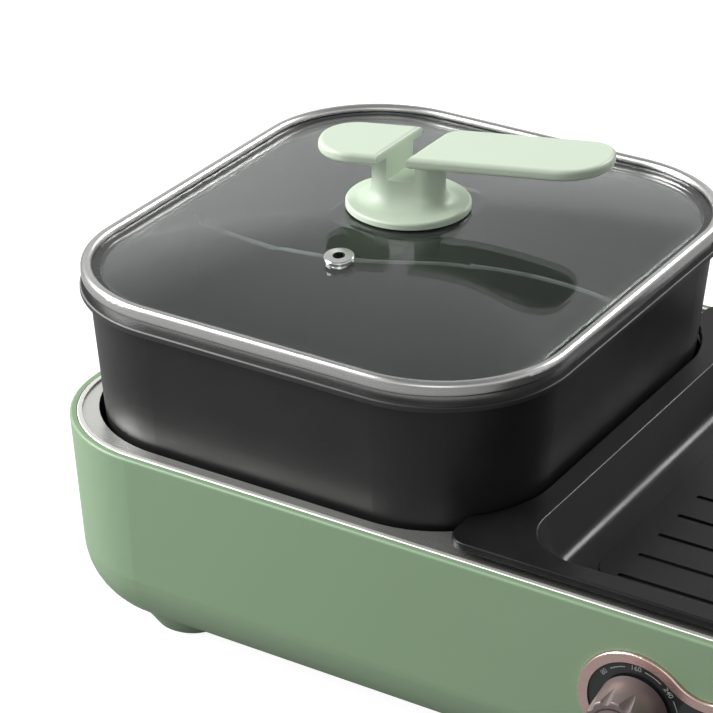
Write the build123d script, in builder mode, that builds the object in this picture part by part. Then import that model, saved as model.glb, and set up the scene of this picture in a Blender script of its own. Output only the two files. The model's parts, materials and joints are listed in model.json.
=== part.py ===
from build123d import *
import os
from math import cos, radians, sin, tan

os.makedirs("parts", exist_ok=True)

# A two-in-one table cooker: a long housing with a lift-out divided pot and glass lid on the left,
# a lift-out grill plate on the right, and one turning knob for each side on the front.
# Millimetres, +X from pot to grill, -Y towards the cook, +Z up, worktop at z = 0.

# ---------------------------------------------------------------- housing
base_length = 665.0
base_depth = 268.0
base_corner = 57.0
base_height = 101.0
wall = 3.0
wall_draft = 4.0
underside = 7.3
underside_arc = 33.0
lip_round = 1.2
foot_from_end = 61.0
foot_from_front = 44.0
foot_radius = 17.0
foot_flare_x = 30.0
foot_flare_y = 24.5
foot_root = 14.0
pad_radius = 15.0
pad_height = 3.2
pad_seat = 1.4

# ---------------------------------------------------------------- bottom cover
cover_end_margin = 107.5
cover_side_margin = 51.0
cover_corner = 20.0
cover_thickness = 2.0
cover_ledge = 10.0
ledge_height = 4.5
slot_length = 34.0
slot_width = 4.0
slot_pitch = 9.0
slot_rows = 9
slot_columns = 7
slot_column_pitch = 60.0
cover_play = 0.5
screw_radius = 1.6
screw_head = 3.4
screw_head_height = 1.2
screw_length = 5.0
screw_fit = 0.05
screw_end_play = 1.0

# ---------------------------------------------------------------- deck, well and tray
deck_thickness = 1.0
deck_fit = 0.3
deck_drop = 0.8
deck_bead = 2.2
deck_bead_height = 1.0
deck_seat = 3.2
deck_seat_height = 3.5
well_gap = 2.7
well_clearance = 0.6
well_drop = 18.3
well_round = 12.0
sheet = 1.0
hang_flange = 3.5
flange_fit = 0.3
tray_drop = 23.0
tray_round = 10.0
pillar_radius = 7.0
pillar_inset = 40.0
well_pillar_reach = 70.0
tray_pillar_inset = 38.0

# ---------------------------------------------------------------- pot
pot_end_margin = 11.1
pot_side_margin = 14.7
pot_length = 213.4
pot_corner = 52.3
pot_draft = 5.0
pot_rise = 60.4
pot_drop = 54.7
pot_wall = 3.2
pot_floor = 4.5
pot_round = 18.0
rim_overhang = 3.9
rim_height = 2.9
rim_round = 0.8
divider_drop = 7.2
divider_width = 3.0
divider_sway = 17.0
divider_half_wave = 125.0
divider_edge = 1.2

# ---------------------------------------------------------------- lid
ring_inset = 0.7
ring_height = 10.2
ring_seam = 3.8
ring_neck = 2.8
ring_lip = 4.8
ring_wall = 1.3
ring_side = 3.2
ring_rest = 3.2
glass_fit = 0.3
ring_round = 2.3
ring_edge = 1.5
skirt_depth = 1.8
skirt_gap = 0.8
glass_thickness = 4.0
glass_rise = 14.4
glass_flat = 4.1
glass_crown = 0.26
vent_reach = 58.0
vent_flange = 6.7
vent_bore = 2.7
vent_neck = 4.2
vent_lip = 1.0
vent_flange_height = 1.8
vent_edge = 0.8

# ---------------------------------------------------------------- lid handle
handle_angle = 20.0
handle_left = 40.0
handle_right = 89.5
handle_width = 37.0
handle_left_corner = 17.5
handle_front_corner = 24.0
handle_back_corner = 11.0
handle_rest_corner = 10.0
handle_rise = 30.6
handle_thickness = 5.4
handle_edge = 2.0
stem_length = 32.5
stem_width = 22.0
stem_corner = 10.0
stem_flare = 7.0
handle_disc_radius = 27.8
handle_disc_height = 3.0
handle_disc_edge = 1.2
rest_left = -4.0
rest_right = 8.0
rest_depth = 14.6
handle_gasket_thickness = 0.8
lid_screw_radius = 2.5
lid_screw_head = 6.0
lid_screw_head_height = 2.5
lid_screw_grip = 12.0
lid_screw_play = 0.6
handle_gasket_inset = 1.5
lid_washer_radius = 11.0
lid_washer_thickness = 1.2

# ---------------------------------------------------------------- grill plate
grill_gap = 2.3
grill_end_margin = 11.0
grill_side_margin = 6.9
grill_rise = 5.9
grill_edge = 3.5
grill_flange = 10.6
grill_recess_corner = 25.0
grill_recess_depth = 14.9
grill_channel_depth = 1.0
grill_floor = 4.0
grill_wall_lean = 34.0
grill_ear_reach = 16.5
grill_tip_radius = 9.0
grill_lug_radius = 3.5
grill_lug_inset = 4.7
grill_lug_spacing = 120.0
ear_lug_reach = 5.7
ear_lug_inset = 14.0
grill_edge_round = 1.0
recess_edge_round = 0.8
grill_side_wall = 3.5
grill_inner_round = 6.0
grill_outer_round = 6.0
griddle_end_inset = 24.0
griddle_side_inset = 19.0
griddle_corner = 12.0
griddle_edge = 0.4
grill_ear_corner = 3.0
groove_pitch = 18.5
groove_count = 11
groove_width = 2.4
groove_margin = 34.9
opening_clearance = 1.6

# ---------------------------------------------------------------- heaters
plate_radius = 76.0
plate_thickness = 9.0
plate_hole = 16.0
leg_radius = 5.0
leg_circle = 58.0
leg_count = 4
probe_radius = 12.3
probe_height = 6.0
probe_gap = 0.3
probe_sleeve_gap = 0.3
probe_sleeve_wall = 1.2
probe_sleeve_height = 11.0
spring_wire = 1.0
spring_radius = 7.0
spring_turns = 4
tube_radius = 4.0
tube_drop = 8.0
tube_pitch = 54.0
tube_bend = 24.0
tube_end_margin = 30.0
tube_pin_radius = 2.0
tube_pin_length = 5.0
tube_stub = 5.0
plate_pin_radius = 2.2
plate_pin_x = 40.0
plate_pin_y = 12.0
plate_pin_low = 18.0
plate_pin_hole = 4.0
sleeve_wire_hole = 5.0
seat_gap = 0.1
tube_clearance = 0.3
rail_thickness = 2.0
rail_pitch = 140.0
rail_count = 3

# ---------------------------------------------------------------- controls
panel_height = 60.4
knob_spacing = 62.0
trim_radius = 25.5
trim_width = 4.4
trim_proud = 1.4
panel_proud = 0.6
panel_seat = 1.5
panel_fit = 0.15
waist_half = 13.2
knob_radius = 15.0
knob_top_radius = 13.8
knob_height = 18.6
knob_edge = 1.2
knob_lift = 1.2
cap_radius = 9.8
cap_groove = 0.9
cap_rise = 0.9
flute_count = 10
flute_radius = 3.6
flute_reach = 10.0
flute_tip = 0.9
flute_circle = 15.6
knob_hollow = 8.0
knob_hollow_height = 3.4
pointer_width = 2.4
pointer_height = 0.6
pointer_angle = 225.0
shaft_radius = 3.0
shaft_fit = 0.05
shaft_reach = 12.0
bushing_radius = 4.3
bushing_hole = 4.6
thermostat_side = 30.0
thermostat_depth = 8.5
thermostat_tab = 6.0
thermostat_tab_width = 4.8
thermostat_tab_thickness = 0.8
thermostat_tab_drop = 9.0
thermostat_tab_pitch = 15.0
shaft_depth = 7.0
nut_size = 11.0
nut_height = 2.0
lens_radius = 2.4
lens_head = 3.2
lens_head_height = 0.8

# ---------------------------------------------------------------- mains inlet and wiring
inlet_from_end = 82.5
inlet_height = 40.0
inlet_length = 43.0
inlet_width = 26.0
inlet_depth = 24.0
inlet_corner = 5.0
inlet_wall = 3.0
inlet_back = 5.0
inlet_flange = 6.5
inlet_flange_thickness = 2.5
inlet_fit = 0.2
inlet_screw_length = 6.0
inlet_screw_head_height = 0.8
pin_rise = 3.5
pin_radius = 2.0
pin_pitch = 10.0
pin_drop = 1.0
pin_length = 14.0
tab_length = 8.0
inlet_screw_radius = 1.5
inlet_screw_head = 2.6
terminal_length = 46.0
terminal_width = 12.0
terminal_height = 14.0
wire_radius = 1.5
wire_bend = 12.0
wire_pitch = 9.0
wire_turn_y = 76.0

# ---------------------------------------------------------------- worked-out places
slope = tan(radians(wall_draft))
pot_slope = tan(radians(pot_draft))
lean = tan(radians(grill_wall_lean))
knob_overhang = panel_proud + knob_lift + knob_height - (base_height - panel_height) * slope
mid_y = knob_overhang / 2
cover_length = base_length - 2 * cover_end_margin
cover_depth = base_depth - 2 * cover_side_margin
inlet_x = base_length / 2 - inlet_from_end
pot_x = -base_length / 2 + pot_end_margin + pot_length / 2
pot_depth = base_depth - 2 * pot_side_margin
pot_top = base_height + pot_rise
pot_bottom = base_height - pot_drop
divider_top = pot_top - divider_drop
well_floor = pot_bottom - well_drop
deck_top = base_height - deck_drop
deck_low = deck_top - deck_thickness
floor_top = underside + wall
cover_top = underside + cover_thickness
ledge_top = cover_top + ledge_height
well_length = pot_length + 2 * well_gap
well_depth = pot_depth + 2 * well_gap
well_corner = pot_corner + well_gap
ring_grow = pot_rise * pot_slope + rim_overhang - ring_inset
ring_length = pot_length + 2 * ring_grow
ring_depth = pot_depth + 2 * ring_grow
ring_corner = pot_corner + ring_grow
ring_low = pot_top
glass_low = ring_low + ring_rest
glass_edge = glass_low + glass_thickness
glass_top = glass_edge + glass_rise
handle_top = glass_top + handle_rise
rest_floor = handle_top - rest_depth
plate_low = pot_bottom - plate_thickness
grill_left = pot_x + pot_length / 2 + grill_gap
grill_right = base_length / 2 - grill_end_margin
grill_length = grill_right - grill_left
grill_x = (grill_left + grill_right) / 2
grill_depth = base_depth - 2 * grill_side_margin
grill_outer_corner = base_corner - grill_end_margin
grill_top = base_height + grill_rise
grill_surface = grill_top - grill_recess_depth
channel_floor = grill_surface - grill_channel_depth
grill_under = channel_floor - grill_floor
tray_floor = grill_under - tray_drop
tube_height = grill_under - tube_drop


def level(height, x=0.0):
    """Horizontal plane at a height, with its origin over the housing's centre line at x."""
    return Plane(origin=(x, mid_y, height))


def rounded(height, length, depth, corner, x=0.0):
    """Rounded rectangle lying at a height, centred over x."""
    with BuildSketch(level(height, x)) as flat:
        RectangleRounded(length, depth, corner)
    return flat.sketch


def disc(height, radius, x=0.0, y=0.0):
    """Round face lying at a height, at (x, y) from the housing's centre."""
    with BuildSketch(level(height, x)) as flat:
        with Locations((0, y)):
            Circle(radius)
    return flat.sketch


def drafted(plan, drop, draft, arc):
    """Solid that hangs from a plan, narrowing by its draft, with a rounded bottom edge."""
    with BuildPart() as block:
        extrude(plan, amount=-drop, taper=draft)
        fillet(block.edges().group_by(Axis.Z)[0], arc)
    return block.part


def housing_block(inset, low, arc):
    """Outer form of the housing, drawn in by inset and reaching down to low."""
    plan = rounded(base_height, base_length - 2 * inset, base_depth - 2 * inset, base_corner - inset)
    return drafted(plan, base_height - low, wall_draft, arc)


def wall_y(height):
    """Distance from the housing's centre line to its outer wall at a height."""
    return base_depth / 2 - (base_height - height) * slope


def foot(x, y):
    """Moulded foot that widens from its round sole into the housing's underside."""
    with BuildPart() as stub:
        with BuildSketch(level(pad_seat, x)) as sole:
            with Locations((0, y)):
                Circle(foot_radius)
        with BuildSketch(level(foot_root, x)) as root:
            with Locations((0, y)):
                Ellipse(foot_flare_x, foot_flare_y)
        loft()
    return stub.part


def pot_plan(height, inset=0.0):
    """The pot's drafted outline at a height, drawn in by inset."""
    grow = (height - base_height) * pot_slope - inset
    return rounded(height, pot_length + 2 * grow, pot_depth + 2 * grow, pot_corner + grow, pot_x)


def ring_plan(height, inset=0.0):
    """The lid ring's outline at a height, drawn in by inset."""
    return rounded(height, ring_length - 2 * inset, ring_depth - 2 * inset, ring_corner - inset, pot_x)


def recess_plan(height, inset=0.0):
    """The grill plate's recess outline at its top edge, drawn in by inset."""
    corner = grill_recess_corner - inset
    return rounded(height, recess_length - 2 * inset, recess_depth - 2 * inset, corner, grill_x)


def collar(outer, inner, drop, edge):
    """Band that hangs from two nested plans, its outer edges rounded."""
    with BuildPart() as band:
        extrude(outer, amount=-drop)
        fillet(band.edges().group_by(Axis.Z)[0] + band.edges().group_by(Axis.Z)[-1], edge)
        extrude(inner, amount=-drop, mode=Mode.SUBTRACT)
    return band.part


def grown(height, length, depth, corner, x, by):
    """Rounded rectangle at a height, let out by the same amount all round."""
    return rounded(height, length + 2 * by, depth + 2 * by, corner + by, x)


def pan(length, depth, corner, x, low, draft, arc):
    """Open sheet pan that hangs below the deck by a narrow flange."""
    with BuildPart() as block:
        add(drafted(grown(deck_low, length, depth, corner, x, sheet), deck_low - low, draft, arc))
        extrude(grown(deck_low, length, depth, corner, x, hang_flange), amount=-sheet)
        add(drafted(grown(deck_low, length, depth, corner, x, 0), deck_low - low - sheet, draft, arc - sheet),
            mode=Mode.SUBTRACT)
    return block.part


def rods(plane, radius, places, length):
    """Round rods that stand on a plane; a negative length points them back from it."""
    with BuildPart() as group:
        with BuildSketch(plane):
            with Locations(*places):
                Circle(radius)
        extrude(amount=length)
    return group.part


def peanut(plane, lobe):
    """Outline round both knobs: two lobes joined by a waist that one arc a side draws in."""
    half = knob_spacing / 2
    waist = waist_half - (trim_radius - lobe)
    bend = (half**2 + waist**2 - lobe**2) / (2 * (lobe - waist))
    share = lobe / (lobe + bend)
    join_x = half * (1 - share)
    join_y = (waist + bend) * share
    with BuildSketch(plane) as outline:
        with BuildLine():
            ThreePointArc((-join_x, join_y), (0, waist), (join_x, join_y))
            ThreePointArc((join_x, join_y), (half + lobe, 0), (join_x, -join_y))
            ThreePointArc((join_x, -join_y), (0, -waist), (-join_x, -join_y))
            ThreePointArc((-join_x, -join_y), (-half - lobe, 0), (-join_x, join_y))
        make_face()
    return outline.sketch


def dome_plan(low, share):
    """Outline of the lid's crown where it has shrunk to a share of the clear opening."""
    rise = glass_rise * (1 - share**2) / (1 - glass_crown**2)
    return rounded(low + rise, clear_length * share, clear_depth * share, clear_corner * share, pot_x)


def dome(low):
    """Crowned solid over the lid's clear opening, with a flat top under the handle."""
    with BuildPart() as crown:
        loft([dome_plan(low, share).face() for share in dome_shares])
    return crown.part


def wire(*points):
    """Insulated lead along straight runs joined by arcs, given in housing coordinates."""
    with BuildPart() as lead:
        with BuildLine(Plane(origin=(0, mid_y, 0))) as route:
            FilletPolyline(*points, radius=wire_bend)
        with BuildSketch(Plane(route.line @ 0, z_dir=route.line % 0)):
            Circle(wire_radius)
        sweep(path=route.line)
    return lead.part


# ---------------------------------------------------------------- outlines shared by several pieces
recess_length = grill_length - 2 * grill_flange
recess_depth = grill_depth - 2 * grill_flange
grill_side = grill_side_wall / cos(radians(grill_wall_lean))
opening_inset = (grill_top - deck_top) * lean - grill_side - opening_clearance
well_inside_length = well_length + 2 * well_clearance
well_inside_depth = well_depth + 2 * well_clearance
well_inside_corner = well_corner + well_clearance
tray_length = recess_length - 2 * opening_inset + 2 * well_clearance
tray_depth = recess_depth - 2 * opening_inset + 2 * well_clearance
tray_corner = grill_recess_corner - opening_inset + well_clearance
tray_end = grill_x + tray_length / 2 + sheet
clear_length = ring_length - 2 * (ring_lip + glass_flat)
clear_depth = ring_depth - 2 * (ring_lip + glass_flat)
clear_corner = ring_corner - ring_lip - glass_flat
vent_share = vent_reach / (clear_depth / 2)
dome_shares = (1.0, 0.86, 0.68, vent_share, glass_crown)
vent_rise = glass_rise * (1 - vent_share**2) / (1 - glass_crown**2)
vent_slope = 2 * glass_rise * vent_share / (clear_depth / 2 * (1 - glass_crown**2))
vent = Plane(
    origin=(pot_x, mid_y - vent_reach, glass_edge + vent_rise),
    x_dir=(1, 0, 0),
    z_dir=(0, -vent_slope, 1),
)
front = Plane(
    origin=(0, mid_y - wall_y(panel_height), panel_height),
    x_dir=(1, 0, 0),
    z_dir=(0, -cos(radians(wall_draft)), -sin(radians(wall_draft))),
)
rear = Plane(
    origin=(inlet_x, mid_y + wall_y(inlet_height), inlet_height),
    x_dir=(-1, 0, 0),
    z_dir=(0, cos(radians(wall_draft)), -sin(radians(wall_draft))),
)
handle_low = glass_top + handle_gasket_thickness
grip = Plane(
    origin=(pot_x, mid_y, 0),
    x_dir=(cos(radians(handle_angle)), sin(radians(handle_angle)), 0),
    z_dir=(0, 0, 1),
)

# ---------------------------------------------------------------- places of repeated pieces
knob_places = {"pot": -knob_spacing / 2, "grill": knob_spacing / 2}
knob_centres = [(x, 0) for x in knob_places.values()]
foot_x = base_length / 2 - foot_from_end
foot_y = base_depth / 2 - foot_from_front
feet = [(x, y) for x in (-foot_x, foot_x) for y in (-foot_y, foot_y)]
screw_x = (cover_length - cover_ledge) / 2
screw_y = (cover_depth - cover_ledge) / 2
screw_end = cover_length / 2 - cover_corner
cover_screw_places = [(x, y) for x in (-screw_end, -screw_end / 3, screw_end / 3, screw_end)
                      for y in (-screw_y, screw_y)]
pillar_y = base_depth / 2 - pillar_inset
well_ends = (pot_x - well_pillar_reach, pot_x + well_pillar_reach)
well_pillars = [(x, y) for x in well_ends for y in (-pillar_y, pillar_y)]
tray_reach = tray_length / 2 - tray_pillar_inset
tray_ends = (grill_x - tray_reach, grill_x + tray_reach)
tray_pillars = [(x, y) for x in tray_ends for y in (-pillar_y, pillar_y)]
inlet_screw_x = inlet_length / 2 + inlet_flange / 2
inlet_screw_places = [(-inlet_screw_x, 0), (inlet_screw_x, 0)]
pin_places = [(-pin_pitch, -pin_drop), (0, pin_rise), (pin_pitch, -pin_drop)]
plate_pins = [(plate_pin_x, -plate_pin_y), (plate_pin_x, plate_pin_y)]

# ---------------------------------------------------------------- housing shell
with BuildPart() as housing:
    add(housing_block(0, underside, underside_arc))
    fillet(housing.edges().group_by(Axis.Z)[-1], lip_round)
    for x, y in feet:
        add(foot(x, y))
    extrude(rounded(underside, cover_length + 2 * cover_ledge, cover_depth, cover_corner),
            amount=wall)
    add(housing_block(wall, floor_top, underside_arc - wall), mode=Mode.SUBTRACT)
    # ledge that carries the deck
    extrude(
        rounded(deck_low, base_length - wall, base_depth - wall, base_corner - wall / 2)
        - rounded(deck_low, base_length - 2 * (wall + deck_seat), base_depth - 2 * (wall + deck_seat),
                  base_corner - wall - deck_seat),
        amount=-deck_seat_height,
    )
    extrude(grown(deck_low, well_inside_length, well_inside_depth, well_inside_corner, pot_x,
                  hang_flange + flange_fit), amount=-sheet - seat_gap, mode=Mode.SUBTRACT)
    extrude(grown(deck_low, well_inside_length, well_inside_depth, well_inside_corner, pot_x,
                  sheet + flange_fit), amount=-deck_seat_height, mode=Mode.SUBTRACT)
    # pillars under the well and the tray
    add(rods(level(floor_top), pillar_radius, well_pillars, well_floor - floor_top))
    add(rods(level(floor_top), pillar_radius, tray_pillars, tray_floor - floor_top))
    # thick ring that the bottom cover is screwed to, its opening and its rebate
    extrude(rounded(floor_top, cover_length, cover_depth, cover_corner), amount=ledge_top - floor_top)
    extrude(rounded(underside, cover_length - 2 * cover_ledge, cover_depth - 2 * cover_ledge,
                    cover_corner - cover_ledge), amount=ledge_top - underside, mode=Mode.SUBTRACT)
    extrude(rounded(underside, cover_length, cover_depth, cover_corner),
            amount=cover_thickness, mode=Mode.SUBTRACT)
    screw_hole_depth = screw_length + screw_end_play
    add(rods(level(underside), screw_radius + screw_fit, cover_screw_places, screw_hole_depth),
        mode=Mode.SUBTRACT)
    # seats for the foot pads
    add(rods(level(pad_seat), pad_radius + screw_fit, feet, pad_height - pad_seat), mode=Mode.SUBTRACT)
    # front: pocket for the panel and its trim, holes for the two bushings and the lens
    extrude(peanut(front, trim_radius + panel_fit), amount=-panel_seat, mode=Mode.SUBTRACT)
    add(rods(front, bushing_hole, knob_centres, -2 * wall), mode=Mode.SUBTRACT)
    add(rods(front, lens_radius + screw_fit, [(0, 0)], -2 * wall), mode=Mode.SUBTRACT)
    # rear: hole for the inlet and its screws
    with BuildSketch(rear):
        RectangleRounded(inlet_length + 2 * inlet_fit, inlet_width + 2 * inlet_fit,
                         inlet_corner + inlet_fit)
    extrude(amount=-2 * wall, mode=Mode.SUBTRACT)
    add(rods(rear, inlet_screw_radius + screw_fit, inlet_screw_places, -2 * wall), mode=Mode.SUBTRACT)
housing.part.label = "housing"
export_step(housing.part, "parts/housing.step")

with BuildPart() as foot_pads:
    add(rods(level(0), pad_radius, feet, pad_height))
foot_pads.part.label = "foot_pads"
export_step(foot_pads.part, "parts/foot_pads.step")

# ---------------------------------------------------------------- bottom cover
with BuildPart() as bottom_cover:
    extrude(rounded(underside, cover_length - 2 * cover_play, cover_depth - 2 * cover_play,
                    cover_corner - cover_play), amount=cover_thickness)
    with BuildSketch(level(underside)):
        with GridLocations(slot_column_pitch, slot_pitch, slot_columns, slot_rows):
            SlotOverall(slot_length, slot_width)
    extrude(amount=cover_thickness, mode=Mode.SUBTRACT)
    add(rods(level(underside), screw_head + screw_fit, cover_screw_places, screw_head_height),
        mode=Mode.SUBTRACT)
    add(rods(level(underside), screw_radius + screw_fit, cover_screw_places, cover_thickness),
        mode=Mode.SUBTRACT)
bottom_cover.part.label = "bottom_cover"
export_step(bottom_cover.part, "parts/bottom_cover.step")

with BuildPart() as cover_screws:
    add(rods(level(underside), screw_head, cover_screw_places, screw_head_height))
    add(rods(level(underside), screw_radius, cover_screw_places, screw_length))
cover_screws.part.label = "cover_screws"
export_step(cover_screws.part, "parts/cover_screws.step")

# ---------------------------------------------------------------- deck, well and tray
deck_inset = wall + deck_fit
bead_inset = deck_inset + deck_bead
bead_top = deck_top + deck_bead_height

with BuildPart() as deck_plate:
    add(collar(
        grown(bead_top, base_length, base_depth, base_corner, 0, -deck_inset),
        grown(bead_top, base_length, base_depth, base_corner, 0, -bead_inset),
        bead_top - deck_low, deck_bead_height / 2,
    ))
    extrude(rounded(deck_low, base_length - 2 * bead_inset + sheet, base_depth - 2 * bead_inset + sheet,
                    base_corner - bead_inset + sheet / 2), amount=deck_thickness)
    extrude(rounded(deck_low, well_length, well_depth, well_corner, pot_x), amount=deck_thickness,
            mode=Mode.SUBTRACT)
    extrude(recess_plan(deck_low, opening_inset), amount=deck_thickness, mode=Mode.SUBTRACT)
deck_plate.part.label = "deck_plate"
export_step(deck_plate.part, "parts/deck_plate.step")

with BuildPart() as pot_well:
    add(pan(well_inside_length, well_inside_depth, well_inside_corner, pot_x, well_floor, pot_draft,
            well_round))
    add(rods(level(well_floor, pot_x), plate_pin_hole, plate_pins, sheet), mode=Mode.SUBTRACT)
    extrude(disc(well_floor, sleeve_wire_hole, pot_x), amount=sheet, mode=Mode.SUBTRACT)
pot_well.part.label = "pot_well"
export_step(pot_well.part, "parts/pot_well.step")

tube_far = grill_x - tray_length / 2 + tube_end_margin
tube_near = grill_x + tray_length / 2 - tube_end_margin
tube_outer_y = 1.5 * tube_pitch
tube_inner_y = 0.5 * tube_pitch
tray_side = Plane(origin=(tray_end - 2 * sheet, mid_y, tube_height), x_dir=(0, 1, 0), z_dir=(1, 0, 0))
tube_exits = [(-tube_outer_y, 0), (tube_outer_y, 0)]

with BuildPart() as grill_tray:
    add(pan(tray_length, tray_depth, tray_corner, grill_x, tray_floor, 0, tray_round))
    add(rods(tray_side, tube_radius + tube_clearance, tube_exits, 4 * sheet), mode=Mode.SUBTRACT)
grill_tray.part.label = "grill_tray"
export_step(grill_tray.part, "parts/grill_tray.step")

# ---------------------------------------------------------------- grill heater
with BuildPart() as heating_tube:
    with BuildLine(level(tube_height)) as serpentine:
        FilletPolyline(
            (tray_end + tube_stub, -tube_outer_y), (tube_far, -tube_outer_y), (tube_far, -tube_inner_y),
            (tube_near, -tube_inner_y), (tube_near, tube_inner_y), (tube_far, tube_inner_y),
            (tube_far, tube_outer_y), (tray_end + tube_stub, tube_outer_y),
            radius=tube_bend,
        )
    with BuildSketch(Plane(serpentine.line @ 0, z_dir=serpentine.line % 0)):
        Circle(tube_radius)
    sweep(path=serpentine.line)
heating_tube.part.label = "heating_tube"
export_step(heating_tube.part, "parts/heating_tube.step")

with BuildPart() as tube_terminals:
    add(rods(tray_side.offset(2 * sheet + tube_stub), tube_pin_radius, tube_exits, tube_pin_length))
tube_terminals.part.label = "tube_terminals"
export_step(tube_terminals.part, "parts/tube_terminals.step")

with BuildPart() as tube_rails:
    with BuildSketch(level(tray_floor + sheet, grill_x)):
        with GridLocations(rail_pitch, 0, rail_count, 1):
            Rectangle(rail_thickness, 2 * tube_outer_y + 4 * tube_radius)
    extrude(amount=tube_height - tube_radius - seat_gap - tray_floor - sheet)
tube_rails.part.label = "tube_rails"
export_step(tube_rails.part, "parts/tube_rails.step")

# ---------------------------------------------------------------- pot heater and temperature probe
sleeve_radius = probe_radius + probe_sleeve_gap + probe_sleeve_wall
sleeve_low = well_floor + sheet
sleeve_floor = sleeve_low + probe_sleeve_wall
probe_top = pot_bottom - probe_gap

with BuildPart() as heating_plate:
    extrude(disc(plate_low, plate_radius, pot_x), amount=plate_thickness)
    extrude(disc(plate_low, plate_hole, pot_x), amount=plate_thickness, mode=Mode.SUBTRACT)
heating_plate.part.label = "heating_plate"
export_step(heating_plate.part, "parts/heating_plate.step")

with BuildPart() as plate_legs:
    with BuildSketch(level(sleeve_low, pot_x)):
        with PolarLocations(leg_circle, leg_count, start_angle=180 / leg_count):
            Circle(leg_radius)
    extrude(amount=plate_low - sleeve_low)
plate_legs.part.label = "plate_legs"
export_step(plate_legs.part, "parts/plate_legs.step")

with BuildPart() as plate_terminals:
    add(rods(level(plate_pin_low, pot_x), plate_pin_radius, plate_pins, plate_low - plate_pin_low))
plate_terminals.part.label = "plate_terminals"
export_step(plate_terminals.part, "parts/plate_terminals.step")

with BuildPart() as probe_sleeve:
    extrude(disc(sleeve_low, sleeve_radius, pot_x), amount=probe_sleeve_height)
    extrude(disc(sleeve_floor, probe_radius + probe_sleeve_gap, pot_x), amount=probe_sleeve_height,
            mode=Mode.SUBTRACT)
    extrude(disc(sleeve_low, sleeve_wire_hole, pot_x), amount=probe_sleeve_wall, mode=Mode.SUBTRACT)
probe_sleeve.part.label = "probe_sleeve"
export_step(probe_sleeve.part, "parts/probe_sleeve.step")

with BuildPart() as temperature_probe:
    extrude(disc(probe_top, probe_radius, pot_x), amount=-probe_height)
    fillet(temperature_probe.edges().group_by(Axis.Z)[-1], spring_wire)
temperature_probe.part.label = "temperature_probe"
export_step(temperature_probe.part, "parts/temperature_probe.step")

spring_height = probe_top - probe_height - sleeve_floor - spring_wire - 2 * seat_gap
coil = Helix(
    pitch=spring_height / spring_turns, height=spring_height, radius=spring_radius,
    center=(pot_x, mid_y, sleeve_floor + spring_wire / 2 + seat_gap),
)
with BuildPart() as probe_spring:
    with BuildSketch(Plane(coil @ 0, z_dir=coil % 0)):
        Circle(spring_wire / 2)
    sweep(path=coil, is_frenet=True)
probe_spring.part.label = "probe_spring"
export_step(probe_spring.part, "parts/probe_spring.step")

# ---------------------------------------------------------------- control panel
panel_face = front.offset(panel_proud)

with BuildPart() as panel_trim:
    extrude(peanut(front.offset(-panel_seat), trim_radius), amount=panel_seat + trim_proud)
    fillet(panel_trim.edges().sort_by(Axis.Y)[:4], trim_proud / 2)
    extrude(peanut(front.offset(-panel_seat), trim_radius - trim_width),
            amount=panel_seat + 2 * trim_proud, mode=Mode.SUBTRACT)
panel_trim.part.label = "panel_trim"
export_step(panel_trim.part, "parts/panel_trim.step")

with BuildPart() as control_panel:
    extrude(peanut(front.offset(-panel_seat), trim_radius - trim_width - panel_fit),
            amount=panel_seat + panel_proud)
    add(rods(panel_face, bushing_hole, knob_centres, -2 * wall), mode=Mode.SUBTRACT)
    add(rods(panel_face, lens_radius + screw_fit, [(0, 0)], -2 * wall), mode=Mode.SUBTRACT)
control_panel.part.label = "control_panel"
export_step(control_panel.part, "parts/control_panel.step")

with BuildPart() as indicator_lens:
    add(rods(panel_face, lens_head, [(0, 0)], lens_head_height))
    add(rods(panel_face, lens_radius, [(0, 0)], -panel_proud - wall))
indicator_lens.part.label = "indicator_lens"
export_step(indicator_lens.part, "parts/indicator_lens.step")

# ---------------------------------------------------------------- knobs, shafts, nuts and thermostats
inner_wall = front.offset(-wall)
knob_low = panel_proud + knob_lift
knob_face = knob_low + knob_height - pointer_height - cap_rise
edge_bend = knob_edge * (1 - sin(radians(45)))

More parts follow.
